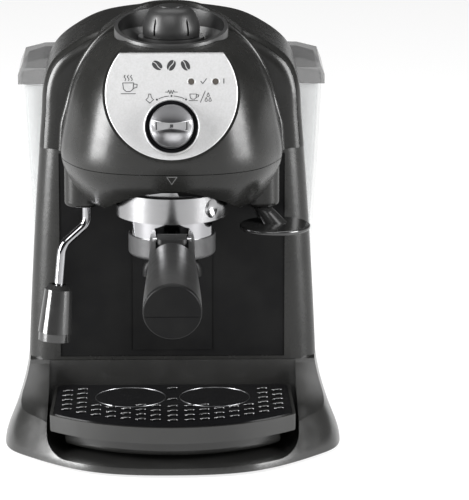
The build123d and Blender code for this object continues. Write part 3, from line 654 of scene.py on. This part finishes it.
def add_panel_details(ink, silver, gloss, satin, bright):
    add_piece("panel_prints", panel_prints, "machine_body", ink, smooth=False)
    add_piece("lamp_rims", lamp_rims, "machine_body", silver)
    trim = add_piece("bezel_trim", bezel_trim, "machine_body", silver)
    # The dark ring inside the bezel is painted shade for the gap round the selector.
    gap_shade_ring = add_piece("bezel_shade_ring", bezel_shade_ring, "machine_body", gloss)
    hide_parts("knob_bezel")
    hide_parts("knob_bezel")
    dish = add_piece("selector_dish", selector_dish, "selector", satin)
    bar = add_piece("selector_bar", selector_bar, "selector", bright)
    add_piece("selector_marks", selector_marks, "selector", ink, smooth=False)
    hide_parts("selector_knob")
    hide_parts("selector_knob")


# ---- Hood arrow ---------------------------------------------------------------------
def hood_arrow(bm):
    """Small outlined arrow over the filter holder, laid on the bowl's front."""
    tree = surface_tree("head_underside")
    low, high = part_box("head_underside")
    top = high[2] / MM - 0.9

    def place(u, v, w):
        hit = tree.ray_cast(Vector((u * MM, low[1] - 0.05, (top + v) * MM)), Vector((0, 1, 0)))[0]
        return Vector((hit.x, hit.y - w * MM, hit.z))

    corners = [(-3.0, 0), (3.0, 0), (0, -4.8)]
    outline = []
    for first, second in zip(corners, corners[1:] + corners[:1]):
        for t in range(6):
            outline.append((first[0] + (second[0] - first[0]) * t / 6,
                            first[1] + (second[1] - first[1]) * t / 6))
    stroke(bm, outline + [outline[0]], 0.30, -0.05, 0.12, place)


# ---- Drip grid ----------------------------------------------------------------------
HOLE_ROWS = (4, 4, 4, 3, 3, 3, 6, 5)
HOLE_PITCH = (9.12, 10.3)
CUP_RING_RADIUS = 21.7


def grid_places():
    """Middles of the grid's holes, in millimetres from the middle of the tray's front edge."""
    low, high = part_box("drip_tray")
    half = (high[0] - low[0]) / 2 / MM
    corner = 30.0
    radius = (half ** 2 + corner ** 2) / 2 / corner
    places = [(0.0, 61.6), (0.0, 86.2)]
    for column, rows in enumerate(HOLE_ROWS):
        x = HOLE_PITCH[0] * column + (1.2 if column else 0)
        first = radius - math.sqrt(radius ** 2 - x ** 2) + 14.6 + column * 0.5
        for row in range(rows):
            for side in ((-1, 1) if column else (1,)):
                places.append((side * x, first + row * HOLE_PITCH[1]))
    return places


def bump(bm, centre, size, turn):
    """Low oval dome, size is (half length, half width, height) in millimetres."""
    rings, count = 4, 16
    cos, sin = math.cos(turn), math.sin(turn)
    rows = []
    for ring in range(rings):
        tilt = math.pi / 2 * ring / rings
        row = []
        for step in range(count):
            angle = 2 * math.pi * step / count
            u = size[0] * math.cos(tilt) * math.cos(angle)
            v = size[1] * math.cos(tilt) * math.sin(angle)
            offset = Vector((u * cos - v * sin, u * sin + v * cos, size[2] * math.sin(tilt)))
            row.append(bm.verts.new(centre + offset * MM))
        rows.append(row)
    for lower, upper in zip(rows, rows[1:]):
        for step in range(count):
            after = (step + 1) % count
            bm.faces.new((lower[step], lower[after], upper[after], upper[step]))
    bm.faces.new(rows[-1])
    bm.faces.new(rows[0][::-1])


def grid_bumps(bm):
    """Raised lip behind every hole, a longer one to the right and a small one to the left."""
    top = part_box("drip_grid")[1][2]
    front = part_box("drip_tray")[0][1]
    for x, y in grid_places():
        bump(bm, Vector((x * MM + 0.6 * MM, front + (y + 2.1) * MM, top - 0.1 * MM)), (2.6, 0.9, 0.85), 0.1)
        bump(bm, Vector((x * MM - 2.4 * MM, front + (y + 1.3) * MM, top - 0.1 * MM)), (0.8, 0.7, 0.6), 0)


CUP_HALF_PITCH = 26.0
CUP_BACK = 67.0                 # from the tray's front to the middle of a cup


def cup_rings(bm):
    """Thin raised bead round each cup's place."""
    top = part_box("drip_grid")[1][2]
    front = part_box("drip_tray")[0][1]
    for side in (-1, 1):
        middle_x = side * CUP_HALF_PITCH * MM

        def place(u, v, w, middle_x=middle_x):
            return Vector((middle_x + u * MM, front + (CUP_BACK + v) * MM, top + w * MM))

        radius = CUP_RING_RADIUS
        bead = [(radius - 0.35, -0.1), (radius - 0.2, 0.22), (radius + 0.2, 0.22), (radius + 0.35, -0.1)]
        lathe(bm, bead, place, 96)


add_camera()
add_lights()
add_floor()
made = finish_nodes()
ink = printed("print_black", (0.010, 0.010, 0.011))
add_panel_details(ink, made["panel_silver"], made["gloss_black"], satin_chrome(), bright_bar())
arrow = printed("print_grey", (0.13, 0.13, 0.13))
add_piece("hood_arrow", hood_arrow, "machine_body", arrow, smooth=False)
add_piece("grid_bumps", grid_bumps, "drip_grid", grid_lip())
add_piece("cup_rings", cup_rings, "drip_grid", satin_chrome())
bpy.context.scene.view_settings.view_transform = "Standard"
